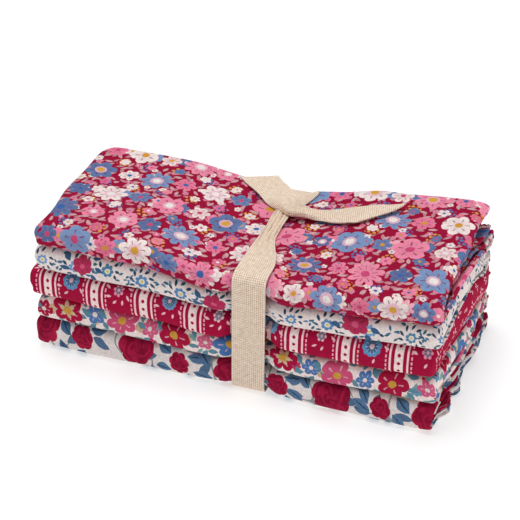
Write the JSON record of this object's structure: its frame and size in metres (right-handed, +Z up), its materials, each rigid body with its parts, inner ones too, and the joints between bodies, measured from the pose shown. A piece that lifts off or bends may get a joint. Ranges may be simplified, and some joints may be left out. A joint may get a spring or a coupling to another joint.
{
  "type": "fat quarter bundle",
  "caption": "Stack of folded cotton quilting cuts in printed cloths, held together by a knotted cotton ribbon.",
  "frame": {"origin": "middle of the bundle's bounding box, on the underside that it rests on", "axes": "+X along the bundle, +Y from the rounded front folds to the back, +Z up through the stack"},
  "size_m": [0.1938, 0.0856, 0.0664],
  "materials": {
    "meadow_cotton": "matt printed plain-weave cotton, crimson ground with many small flowers",
    "sprig_cotton": "matt printed plain-weave cotton, off-white ground with blue sprigs",
    "stripe_cotton": "matt printed plain-weave cotton, crimson ground with cream stripes",
    "posy_cotton": "matt printed plain-weave cotton, cream ground with mixed flowers",
    "rose_cotton": "matt printed plain-weave cotton, off-white ground with crimson roses and blue leaves",
    "ribbon_cotton": "matt natural cotton tape, coarse plain weave, unprinted"
  },
  "bodies": {
    "root": {"quarter_meadow": "meadow_cotton", "quarter_sprig": "sprig_cotton", "quarter_stripe": "stripe_cotton", "quarter_posy": "posy_cotton", "quarter_rose": "rose_cotton", "ribbon_tie": "ribbon_cotton"}
  },
  "joints": []
}
